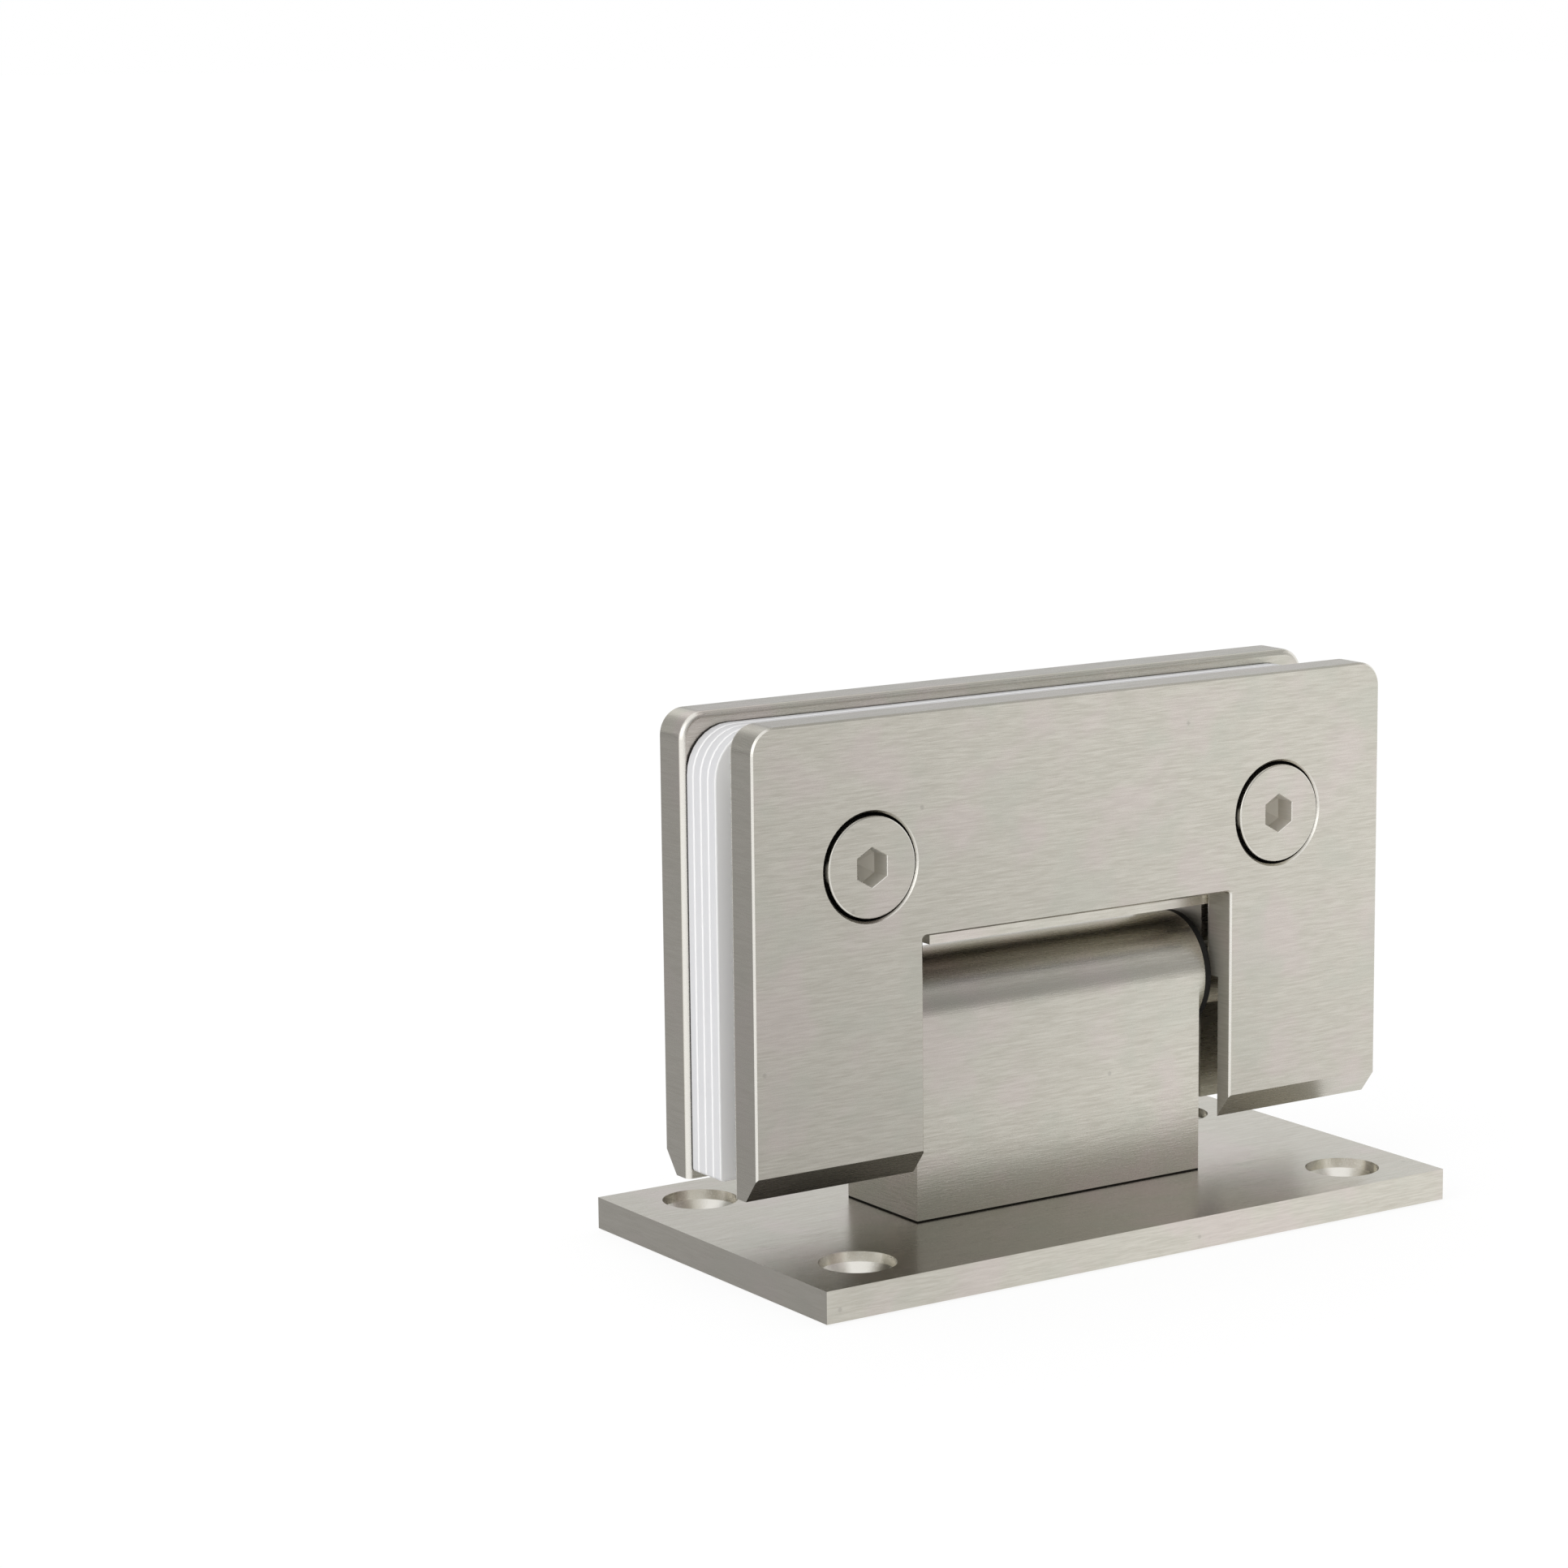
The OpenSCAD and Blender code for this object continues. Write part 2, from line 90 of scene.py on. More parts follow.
# %% [markdown]
# Every finish below is a small network of shader nodes. A few short helpers keep the networks
# readable: they add a node with its inputs, do a sum, mix two colours, make a soft step or place a
# noise. A pattern that several materials share is a node group, built once and given other values
# in each of them; two more helpers make such a group and place it.
# %% Node helpers
def put(tree, kind, inputs, **settings):
    """Add a node. Inputs are given by name or number, each as a plain value or as the output to link."""
    made = tree.nodes.new(kind)
    for key, value in settings.items():
        setattr(made, key, value)
    for key, value in inputs.items():
        if isinstance(value, bpy.types.NodeSocket):
            tree.links.new(value, made.inputs[key])
        else:
            made.inputs[key].default_value = value
    return made


def calc(tree, operation, *values, clamp=False):
    """The output of a Math node."""
    inputs = dict(enumerate(values))
    return put(tree, "ShaderNodeMath", inputs, operation=operation, use_clamp=clamp).outputs[0]


def vector_calc(tree, operation, output, *values):
    """The named output of a Vector Math node: Vector, or Value where the result is a number."""
    inputs = dict(enumerate(values))
    return put(tree, "ShaderNodeVectorMath", inputs, operation=operation).outputs[output]


def axes_of(tree, vector):
    """The three parts of a vector, as outputs named X, Y and Z."""
    return put(tree, "ShaderNodeSeparateXYZ", {0: vector}).outputs


def blend(tree, factor, first, second):
    """A colour that goes from the first to the second as the factor goes from 0 to 1."""
    first, second = [(*c, 1) if isinstance(c, tuple) else c for c in (first, second)]
    return put(tree, "ShaderNodeMix", {0: factor, 6: first, 7: second}, data_type="RGBA").outputs[2]


def ramp(tree, value, start, end, low=0.0, high=1.0):
    """A soft step: low before start, high after end."""
    return put(tree, "ShaderNodeMapRange", {0: value, 1: start, 2: end, 3: low, 4: high},
               interpolation_type="SMOOTHSTEP").outputs[0]


def noise(tree, vector, scale, detail=2.0, roughness=0.5):
    """A soft noise from 0 to 1, mostly near the middle."""
    return put(tree, "ShaderNodeTexNoise",
               {"Vector": vector, "Scale": scale, "Detail": detail, "Roughness": roughness}).outputs[0]


def new_group(name, inputs, outputs):
    """An empty node group with named sockets; v marks a vector, c a colour and f a number."""
    kinds = {"v": "NodeSocketVector", "c": "NodeSocketColor", "f": "NodeSocketFloat"}
    group = bpy.data.node_groups.new(name, "ShaderNodeTree")
    for title, kind in inputs:
        group.interface.new_socket(title, in_out="INPUT", socket_type=kinds[kind])
    for title, kind in outputs:
        group.interface.new_socket(title, in_out="OUTPUT", socket_type=kinds[kind])
    return group, group.nodes.new("NodeGroupInput").outputs, group.nodes.new("NodeGroupOutput").inputs


def use(tree, group, inputs):
    """Place a group in a material and return its outputs."""
    return put(tree, "ShaderNodeGroup", inputs, node_tree=group).outputs


print("helpers ready; lengths below are millimetres times MM, because the scene is in metres")

# %% [markdown]
# The plates were brushed with an abrasive belt that ran lengthwise, so each scratch is a few
# millimetres long and a fraction of a millimetre wide. Stretched noise gives that: slow along the
# belt and quick across it. On the end faces the belt ran along the plate's depth, so there the
# stretch follows the face's own direction, which the object-space normal tells. The group also
# gives four masks: the outer rims, and the faces that look down on the left half, for painted
# shade; the upright broken edges, for a painted highlight; and the walls of the cut-out, which
# were milled and blasted but never brushed. A picture of scratches could be wrapped round each
# piece instead, but it would repeat, and it would need an unwrapped mesh.
# %% Brushed grain
LENGTHWISE = 210.0  # scratch ends per metre along the belt
COARSE, FINE = 1.0, 2.3  # the two noises, as multiples of the lines per metre
grain_tree, given, result = new_group(
    "brushed_grain", [("Vector", "v"), ("Normal", "v"), ("Lines per m", "f")],
    [("Tone", "f"), ("Height", "f"), ("Shaded rim", "f"), ("Shaded underside", "f"), ("Highlit edge", "f"), ("Inner wall", "f")])
place = axes_of(grain_tree, given["Vector"])
facing = axes_of(grain_tree, given["Normal"])
end_face = calc(grain_tree, "ABSOLUTE", facing["X"])
across_scale = given["Lines per m"]
side_scale = put(grain_tree, "ShaderNodeMapRange", {0: end_face, 3: across_scale, 4: LENGTHWISE}).outputs[0]
stretched = put(grain_tree, "ShaderNodeCombineXYZ", {
    0: calc(grain_tree, "MULTIPLY", place["X"], LENGTHWISE),
    1: calc(grain_tree, "MULTIPLY", place["Y"], side_scale),
    2: calc(grain_tree, "MULTIPLY", place["Z"], across_scale)}).outputs[0]
coarse = noise(grain_tree, stretched, COARSE, 2.0, 0.5)
fine = noise(grain_tree, stretched, FINE, 2.0, 0.6)
both = calc(grain_tree, "MULTIPLY_ADD", fine, 0.5, calc(grain_tree, "MULTIPLY", coarse, 0.5))
grain_tree.links.new(ramp(grain_tree, both, 0.3, 0.7), result["Tone"])
grain_tree.links.new(calc(grain_tree, "MULTIPLY_ADD", coarse, 0.35, fine), result["Height"])
print("group:", grain_tree.name, "with", len(grain_tree.nodes), "nodes so far")

# %% [markdown]
# The same group then works out where a face is and which way it looks. A part of the normal near 1
# marks a flat face, a part in between marks a rounded edge, and a soft step on the place keeps a
# mask to the outer ends, the top or the left half. Painted masks would do as well, but these need
# no change to the solids' own meshes.
# %% Masks by place and direction
OUTER_END, TOP_RIM, LEFT_HALF = (36, 40), (50, 56), (-18, 10)  # mm, where each step starts and ends
FLAT, ROUNDED, BEVEL_DOWN = (0.97, 0.998), (0.93, 0.98), (-0.58, -0.40)  # parts of the normal
TOP_SHARE = 0.65
far_out = calc(grain_tree, "ABSOLUTE", place["X"])
outer_end = ramp(grain_tree, far_out, OUTER_END[0] * MM, OUTER_END[1] * MM)
high_up = ramp(grain_tree, place["Z"], TOP_RIM[0] * MM, TOP_RIM[1] * MM)
left_half = ramp(grain_tree, place["X"], LEFT_HALF[0] * MM, LEFT_HALF[1] * MM, 1.0, 0.0)
looks_down = ramp(grain_tree, facing["Z"], *BEVEL_DOWN, 1.0, 0.0)
looks_up = ramp(grain_tree, facing["Z"], *FLAT, 0.0, TOP_SHARE)
flat_end = ramp(grain_tree, end_face, *FLAT)
end_rim = calc(grain_tree, "MULTIPLY", flat_end, outer_end)
top_rim = calc(grain_tree, "MULTIPLY", looks_up, high_up)
not_flat = ramp(grain_tree, end_face, *ROUNDED, 1.0, 0.0)
turns_in = calc(grain_tree, "MULTIPLY", ramp(grain_tree, end_face, 0.1, 0.3), not_flat)
turns_front = ramp(grain_tree, calc(grain_tree, "ABSOLUTE", facing["Y"]), 0.1, 0.3)
# Painted shade: the outer end faces, the high top faces and the faces that look down on the left half are
# made darker.
grain_tree.links.new(calc(grain_tree, "MAXIMUM", end_rim, top_rim), result["Shaded rim"])
grain_tree.links.new(calc(grain_tree, "MULTIPLY", looks_down, left_half), result["Shaded underside"])
# Painted highlight: the upright rounded edges are made brighter.
grain_tree.links.new(calc(grain_tree, "MULTIPLY", turns_in, turns_front), result["Highlit edge"])
grain_tree.links.new(calc(grain_tree, "SUBTRACT", flat_end, end_rim), result["Inner wall"])
print("group:", grain_tree.name, "with", len(grain_tree.nodes), "nodes")

# %% [markdown]
# Nickel plating is never one even colour: it drifts between a pinkish and a greenish grey in
# patches of about a centimetre, and it carries a few pinhead specks. Two slow noises with
# different places drive the two tints, because with one noise the tints would share their
# borders. A cell pattern puts a speck in a few of its cells.
# %% Plating tint and specks
PINK_PER_M, GREEN_PER_M = 110.0, 140.0
APART = (0.31, 0.17, 0.23)  # metres, so that the second noise isn't the first one again
plating_tint, given, result = new_group(
    "plating_tint",
    [("Vector", "v"), ("Color", "c"), ("Pink", "c"), ("Green", "c"), ("Amount", "f")], [("Color", "c")])
moved = vector_calc(plating_tint, "ADD", "Vector", given["Vector"], APART)
pink_area = ramp(plating_tint, noise(plating_tint, given["Vector"], PINK_PER_M, 3.0), 0.48, 0.66)
green_area = ramp(plating_tint, noise(plating_tint, moved, GREEN_PER_M, 3.0), 0.5, 0.68)
pink_share = calc(plating_tint, "MULTIPLY", pink_area, given["Amount"])
green_share = calc(plating_tint, "MULTIPLY", green_area, given["Amount"])
pinked = blend(plating_tint, pink_share, given["Color"], given["Pink"])
plating_tint.links.new(blend(plating_tint, green_share, pinked, given["Green"]), result["Color"])

specks, given, result = new_group(
    "specks", [("Vector", "v"), ("Cells per m", "f"), ("Share", "f")], [("Mask", "f")])
cell_inputs = {"Vector": given["Vector"], "Scale": given["Cells per m"]}
cells = put(specks, "ShaderNodeTexVoronoi", cell_inputs).outputs
lot = put(specks, "ShaderNodeSeparateColor", {0: cells["Color"]}).outputs[0]
chosen = calc(specks, "LESS_THAN", lot, given["Share"])
spot = ramp(specks, cells["Distance"], 0.06, 0.16, 1.0, 0.0)
specks.links.new(calc(specks, "MULTIPLY", spot, chosen), result["Mask"])
print("groups:", plating_tint.name, "and", specks.name)

# %% [markdown]
# A piece off the lathe carries the tool's path: fine rings round its axis, on its end faces and
# along its length alike. The two numbers that a ring keeps are its distance from the axis and its
# place along it, so a noise over just those two is the same all the way round.
# %% Lathe rings
lathe_rings, given, result = new_group(
    "lathe_rings", [("Vector", "v"), ("Centre", "v"), ("Axis", "v"), ("Rings per m", "f")], [("Tone", "f")])
offset = vector_calc(lathe_rings, "SUBTRACT", "Vector", given["Vector"], given["Centre"])
depth = vector_calc(lathe_rings, "DOT_PRODUCT", "Value", offset, given["Axis"])
out = vector_calc(lathe_rings, "CROSS_PRODUCT", "Vector", offset, given["Axis"])
reach = vector_calc(lathe_rings, "LENGTH", "Value", out)
ring_place = put(lathe_rings, "ShaderNodeCombineXYZ", {
    0: calc(lathe_rings, "MULTIPLY", depth, given["Rings per m"]),
    1: calc(lathe_rings, "MULTIPLY", reach, given["Rings per m"])}).outputs[0]
lathe_rings.links.new(noise(lathe_rings, ring_place, 1.0, 2.0, 0.6), result["Tone"])
print("group:", lathe_rings.name, "with", len(lathe_rings.nodes), "nodes")

# %% [markdown]
# Where two pieces meet, painted shade draws a dark line in the joint. It shows round the block's
# foot and down in the ring-shaped gap round each clamp screw's head. A mask by place does it: one
# for the height above the wall plate, and one for the depth below the front face near a screw.
# The sockets get a mask of their own: painted light makes them paler, and they are rough because
# they were only broached. Ambient occlusion would find such corners by itself, but it shades them
# softly and widely, where the real line is thin and crisp.
# %% Painted shade in the joints, painted light in the sockets
def box_mm(name):
    """A node's box as low and high corners in millimetres."""
    return [[round(x / MM, 3) for x in corner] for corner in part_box(name)]


CLAMP_SCREWS = ("clamp_screw_left", "clamp_screw_right")
GAP_MIDDLE, GAP_HALF, SOCKET_R = 6.05, 0.45, 2.42  # mm from the screw's axis
GAP_DEPTH, SOCKET_DEPTH = (0.25, 0.75), (-0.22, -0.12)  # mm behind the plate's front face
FOOT_LINE = (0.16, 0.20)  # mm above the wall plate
plate_top = box_mm("wall_plate")[1][2]
front_face = box_mm("front_clamp_plate")[0][1]
screw_places = [[(a + b) / 2 for a, b in zip(*box_mm(name))] for name in CLAMP_SCREWS]

screw_gap, given, result = new_group("screw_gap", [("Vector", "v")], [("Mask", "f"), ("Socket", "f")])
place = axes_of(screw_gap, given["Vector"])
deep = ramp(screw_gap, place["Y"], *[(front_face + behind) * MM for behind in GAP_DEPTH])
sunk = ramp(screw_gap, place["Y"], *[(front_face + behind) * MM for behind in SOCKET_DEPTH])
near, inside = [], []
for centre in screw_places:
    aside = put(screw_gap, "ShaderNodeCombineXYZ", {
        0: calc(screw_gap, "SUBTRACT", place["X"], centre[0] * MM),
        1: calc(screw_gap, "SUBTRACT", place["Z"], centre[2] * MM)}).outputs[0]
    away = vector_calc(screw_gap, "LENGTH", "Value", aside)
    near.append(calc(screw_gap, "COMPARE", away, GAP_MIDDLE * MM, GAP_HALF * MM))
    inside.append(calc(screw_gap, "LESS_THAN", away, SOCKET_R * MM))
# Painted shade: a dark ring in the gap round each screw head.
in_gap = calc(screw_gap, "MULTIPLY", deep, calc(screw_gap, "MAXIMUM", *near))
# Painted light: this mask makes the sockets paler.
in_socket = calc(screw_gap, "MULTIPLY", sunk, calc(screw_gap, "MAXIMUM", *inside))
screw_gap.links.new(in_gap, result["Mask"])
screw_gap.links.new(in_socket, result["Socket"])

block_foot, given, result = new_group("block_foot", [("Vector", "v")], [("Mask", "f")])
height = axes_of(block_foot, given["Vector"])["Z"]
foot_start, foot_end = [(plate_top + above) * MM for above in FOOT_LINE]
# Painted shade: a dark line round the block's foot.
block_foot.links.new(ramp(block_foot, height, foot_start, foot_end, 1.0, 0.0), result["Mask"])
print("plate top", plate_top, "front face", front_face, "screws at", screw_places)

# %% [markdown]
# Brushed metal itself: a warm nickel grey whose tone follows the grain, with the grain again as a
# very shallow bump, because it is the scratches' slopes that smear a reflection up and down. The
# shader's anisotropic setting smears it too, but the bump also shows the single scratches, and it
# needs no tangents. Roughness follows the grain. A speck is a little darker, and a small pit.
# %% Brushed metal
NICKEL_DARK, NICKEL_LIGHT = (0.588, 0.561, 0.491), (0.695, 0.670, 0.600)
NICKEL_PINK, NICKEL_GREEN = (0.71, 0.62, 0.605), (0.60, 0.605, 0.53)
# The first two colours are painted shade, for the rims, the downward faces and the left end, and painted
# light, for the rounded edges and the sockets; the first on the next line is the black of the painted shade
# in the joints.
PAINTED_SHADE, PAINTED_LIGHT = (0.16, 0.15, 0.135), (0.84, 0.82, 0.77)
JOINT_SHADE, SPECK = (0.02, 0.018, 0.015), (0.25, 0.24, 0.22)
NICKEL_LINES, NICKEL_DEPTH = 3600.0, 0.009  # scratches per metre, and their depth in mm
SPECK_CELLS, SPECK_SHARE, SPECK_DARK = 420.0, 0.05, 0.3
TINT, EDGE_HIGHLIGHT, SOCKET_PAINTED_LIGHT = 0.45, 0.8, 0.7  # how much of each colour is laid over the base
SOCKET_ROUGH, JOINT_SHADE_ROUGH = 0.85, 0.8


def start_material(name):
    """A new material, its node tree, its shader and its object coordinates and normals."""
    material = bpy.data.materials.new(name)
    material.use_nodes = True
    tree = material.node_tree
    where = put(tree, "ShaderNodeTexCoord", {}).outputs
    return material, tree, tree.nodes["Principled BSDF"], where["Object"], where["Normal"]


def finish_shader(tree, shader, color, roughness, height, depth):
    """Link colour, roughness and a bump of the given depth in metres to the shader."""
    tree.links.new(color, shader.inputs["Base Color"])
    tree.links.new(roughness, shader.inputs["Roughness"])
    bump = put(tree, "ShaderNodeBump", {"Strength": 1.0, "Distance": depth, "Height": height})
    tree.links.new(bump.outputs["Normal"], shader.inputs["Normal"])


def brushed_metal(name, end_shade, wear_and_shade, joint_shading=None, underside_shade=0.0,
                  roughest=0.32, wall_rough=0.0):
    """Warm brushed nickel.

    end_shade and underside_shade say how much painted shade darkens the outer rims and the faces that look
    down.
    wear_and_shade says how much painted shade darkens the metal towards the left end:
    an amount, the slope of its edge, and where it is full and gone, as x + slope * z in mm.
    joint_shading is a group of painted shade in the joints, and of painted light in sockets.
    roughest is the roughness between the scratches, and wall_rough is what blasting adds to it on the
    cut-out's walls.
    """
    material, tree, shader, place, normal = start_material(name)
    shader.inputs["Metallic"].default_value = 1
    grain = use(tree, grain_tree, {"Vector": place, "Normal": normal, "Lines per m": NICKEL_LINES})
    speck = use(tree, specks, {"Vector": place, "Cells per m": SPECK_CELLS, "Share": SPECK_SHARE})["Mask"]
    color = blend(tree, grain["Tone"], NICKEL_DARK, NICKEL_LIGHT)
    color = use(tree, plating_tint, {"Vector": place, "Color": color, "Pink": (*NICKEL_PINK, 1),
                                     "Green": (*NICKEL_GREEN, 1), "Amount": TINT})["Color"]
    color = blend(tree, calc(tree, "MULTIPLY", speck, SPECK_DARK), color, SPECK)
    # Painted shade: the outer rims, the top faces, the faces that look down and the metal towards the left
    # end are darkened.
    color = blend(tree, calc(tree, "MULTIPLY", grain["Shaded rim"], end_shade), color, PAINTED_SHADE)
    color = blend(tree, calc(tree, "MULTIPLY", grain["Shaded underside"], underside_shade), color, PAINTED_SHADE)
    amount, slope, full, gone = wear_and_shade
    along = axes_of(tree, place)
    far = calc(tree, "MULTIPLY_ADD", along["Z"], slope, along["X"])
    color = blend(tree, ramp(tree, far, full * MM, gone * MM, amount, 0.0), color, PAINTED_SHADE)
    # Painted highlight: the upright rounded edges are made paler.
    color = blend(tree, calc(tree, "MULTIPLY", grain["Highlit edge"], EDGE_HIGHLIGHT), color, PAINTED_LIGHT)
    roughness = calc(tree, "MULTIPLY_ADD", grain["Tone"], -0.08, roughest)
    roughness = calc(tree, "MULTIPLY_ADD", grain["Inner wall"], wall_rough, roughness)
    if joint_shading:
        joint = use(tree, joint_shading, {"Vector": place})
        if "Socket" in joint:
            # Painted light: the sockets are made paler.
            color = blend(tree, calc(tree, "MULTIPLY", joint["Socket"], SOCKET_PAINTED_LIGHT), color, PAINTED_LIGHT)
            broached = calc(tree, "MULTIPLY", joint["Socket"], SOCKET_ROUGH)
            roughness = calc(tree, "MAXIMUM", roughness, broached)
        # Painted shade: the joints are blackened.
        color = blend(tree, joint["Mask"], color, JOINT_SHADE)
        shade_rough = calc(tree, "MULTIPLY", joint["Mask"], JOINT_SHADE_ROUGH)
        roughness = calc(tree, "MAXIMUM", roughness, shade_rough)
    height = calc(tree, "SUBTRACT", grain["Height"], speck)
    finish_shader(tree, shader, color, roughness, height, NICKEL_DEPTH * MM)
    return material


# Each call paints shade on the rims and towards the left end; the front plate also paints shade on its
# undersides, and the front plate and block paint shade into their joints.
plate_nickel = brushed_metal("brushed_nickel_plate", 0.76, (0.2, 0, -50, 20), roughest=0.28)
back_nickel = brushed_metal("brushed_nickel_back", 0.78, (0.08, 0, -50, 50), wall_rough=0.3)
front_nickel = brushed_metal("brushed_nickel_front", 0.70, (0.45, 1.1, -40, 110), screw_gap,
                             underside_shade=0.62, wall_rough=0.45)
block_nickel = brushed_metal("brushed_nickel_block", 0.0, (0.40, -0.6, -60, 25), block_foot,
                             roughest=0.31)
print("nickel finishes:", [made.name for made in (plate_nickel, back_nickel, front_nickel, block_nickel)])

# %% [markdown]
# The hidden metals: hardened screws, pin and spring leaves are ground or turned steel, grey and a
# little bluish; the spring seat is milled brass, whose cutter leaves a close, straight grain.
# Both use the groups above with other scales and colours, because such a face differs from a
# brushed one only in its colour and in how fine and how deep its lines are.
# %% Turned steel, spring steel and brass
STEEL_DARK, STEEL_LIGHT, STAIN = (0.34, 0.34, 0.35), (0.56, 0.56, 0.57), (0.30, 0.27, 0.24)
STEEL_RINGS, STEEL_DEPTH = 6000.0, 0.006  # rings per metre, and their depth in mm


def turned_steel(name, centre_mm, axis):
    """Steel off the lathe, with rings about an axis through the given centre."""
    material, tree, shader, place, _ = start_material(name)
    shader.inputs["Metallic"].default_value = 1
    rings = use(tree, lathe_rings, {"Vector": place, "Centre": [c * MM for c in centre_mm],
                                    "Axis": axis, "Rings per m": STEEL_RINGS})["Tone"]
    stain = ramp(tree, noise(tree, place, 300.0, 3.0), 0.45, 0.7)
    color = blend(tree, rings, STEEL_DARK, STEEL_LIGHT)
    color = blend(tree, calc(tree, "MULTIPLY", stain, 0.4), color, STAIN)
    roughness = calc(tree, "MULTIPLY_ADD", stain, 0.12, 0.27)
    finish_shader(tree, shader, color, roughness, rings, STEEL_DEPTH * MM)
    return material


def ground_metal(name, dark, light, lines, depth_mm):
    """A ground or milled face: straight grain lengthwise, with slow stains."""
    material, tree, shader, place, normal = start_material(name)
    shader.inputs["Metallic"].default_value = 1
    grain = use(tree, grain_tree, {"Vector": place, "Normal": normal, "Lines per m": lines})
    stain = ramp(tree, noise(tree, place, 260.0, 3.0), 0.45, 0.75)
    color = blend(tree, grain["Tone"], dark, light)
    color = blend(tree, calc(tree, "MULTIPLY", stain, 0.35), color, dark)
    roughness = calc(tree, "MULTIPLY_ADD", grain["Tone"], -0.08, 0.34)
    finish_shader(tree, shader, color, roughness, grain["Height"], depth_mm * MM)
    return material


spring_steel = ground_metal("ground_spring_steel", (0.30, 0.31, 0.33), (0.52, 0.53, 0.55), 5000.0, 0.006)
milled_brass = ground_metal("milled_brass", (0.56, 0.40, 0.17), (0.74, 0.57, 0.28), 1500.0, 0.012)
print("straight grain:", spring_steel.name, "and", milled_brass.name)

# %% [markdown]
# Two plastics. The gaskets are smooth white vinyl, faintly uneven and a touch bluish; painted
# shade greys their cut edges, a painted highlight whitens their rims, and a black line of painted
# shade lies behind the first one. The painted rim highlights come from the place along Y, folded
# back at every half thickness, so that one formula serves all four sheets. The washer and bushes
# are black nylon, turned from rod, with the lathe's rings.
# %% White vinyl and black nylon
# The first place is where the black line of painted shade behind the first sheet starts.
SHADE_LINE_Y, SHEET_T, SHEET_EDGE = 4.57, 1.55, 0.24  # places along Y and lengths, in mm
RIM_FADE, SHADE_LINE_FADE = (0.10, 0.22), 0.05  # mm
PEEL_PER_M, PEEL_DEPTH = 2600.0, 0.004  # the orange peel's bumps per metre, and their depth in mm
NYLON_RINGS, NYLON_DEPTH = 4000.0, 0.008  # rings per metre, and their depth in mm
VINYL_SHADE, VINYL_WHITE, VINYL_RIM_HIGHLIGHT = (0.83, 0.83, 0.845), (0.88, 0.88, 0.885), (1.0, 1.0, 1.0)
VINYL_CUT_SHADE, VINYL_CONTACT_SHADE, VINYL_SPECK = (0.70, 0.70, 0.715), (0.01, 0.01, 0.01), (0.5, 0.5, 0.5)
NYLON_DARK, NYLON_LIGHT, NYLON_WORN = (0.006, 0.006, 0.006), (0.016, 0.015, 0.014), (0.04, 0.038, 0.035)


def white_vinyl(name):
    """White sheet vinyl: two close whites in slow patches, and the fine orange peel of calendering.

    Painted shade makes the cut edges greyer than the flat faces, a painted highlight makes each
    sheet's rim whiter, and a black line of painted shade lies behind the first sheet.
    """
    material, tree, shader, place, normal = start_material(name)
    shader.inputs["Specular IOR Level"].default_value = 0.4
    cloud = ramp(tree, noise(tree, place, 160.0, 3.0), 0.35, 0.65)
    peel = noise(tree, place, PEEL_PER_M, 2.0)
    speck = use(tree, specks, {"Vector": place, "Cells per m": 260.0, "Share": 0.04})["Mask"]
    depth = axes_of(tree, place)["Y"]
    from_rim = calc(tree, "PINGPONG", calc(tree, "SUBTRACT", depth, SHEET_EDGE * MM), SHEET_T / 2 * MM)
    flat_face = calc(tree, "ABSOLUTE", axes_of(tree, normal)["Y"])
    cut_edge_shade = ramp(tree, flat_face, 0.3, 0.6, 0.75, 0.0)
    rim = ramp(tree, from_rim, RIM_FADE[0] * MM, RIM_FADE[1] * MM, 1.0, 0.0)
    contact_shade = ramp(tree, depth, SHADE_LINE_Y * MM, (SHADE_LINE_Y + SHADE_LINE_FADE) * MM)
    color = blend(tree, cloud, VINYL_SHADE, VINYL_WHITE)
    # Painted shade: the cut edges, which face sideways, are made greyer.
    color = blend(tree, cut_edge_shade, color, VINYL_CUT_SHADE)
    # Painted highlight: each sheet's rim is made whiter.
    color = blend(tree, rim, color, VINYL_RIM_HIGHLIGHT)
    # Painted shade: a black line behind the first sheet, where it meets the back plate.
    color = blend(tree, contact_shade, color, VINYL_CONTACT_SHADE)
    color = blend(tree, calc(tree, "MULTIPLY", speck, 0.15), color, VINYL_SPECK)
    roughness = calc(tree, "MULTIPLY_ADD", peel, 0.1, 0.36)
    finish_shader(tree, shader, color, roughness, peel, PEEL_DEPTH * MM)
    return material


def black_nylon(name, centre_mm):
    """Turned black nylon: a soft black with rings about X."""
    material, tree, shader, place, _ = start_material(name)
    rings = use(tree, lathe_rings, {"Vector": place, "Centre": [c * MM for c in centre_mm],
                                    "Axis": (1, 0, 0), "Rings per m": NYLON_RINGS})["Tone"]
    wear_and_shade = ramp(tree, noise(tree, place, 500.0, 3.0), 0.5, 0.75)
    shader.inputs["Specular IOR Level"].default_value = 0.25
    color = blend(tree, rings, NYLON_DARK, NYLON_LIGHT)
    color = blend(tree, calc(tree, "MULTIPLY", wear_and_shade, 0.3), color, NYLON_WORN)
    roughness = calc(tree, "MULTIPLY_ADD", wear_and_shade, 0.15, 0.6)
    finish_shader(tree, shader, color, roughness, rings, NYLON_DEPTH * MM)
    return material


vinyl = white_vinyl("white_vinyl")
pin_box = box_mm("pivot_pin")
PIVOT = (0, 0, (pin_box[0][2] + pin_box[1][2]) / 2)
nylon = black_nylon("black_nylon", PIVOT)
pin_steel = turned_steel("turned_steel_pin", PIVOT, (1, 0, 0))
print("plastics:", vinyl.name, "and", nylon.name, "with rings about the pivot at", PIVOT)

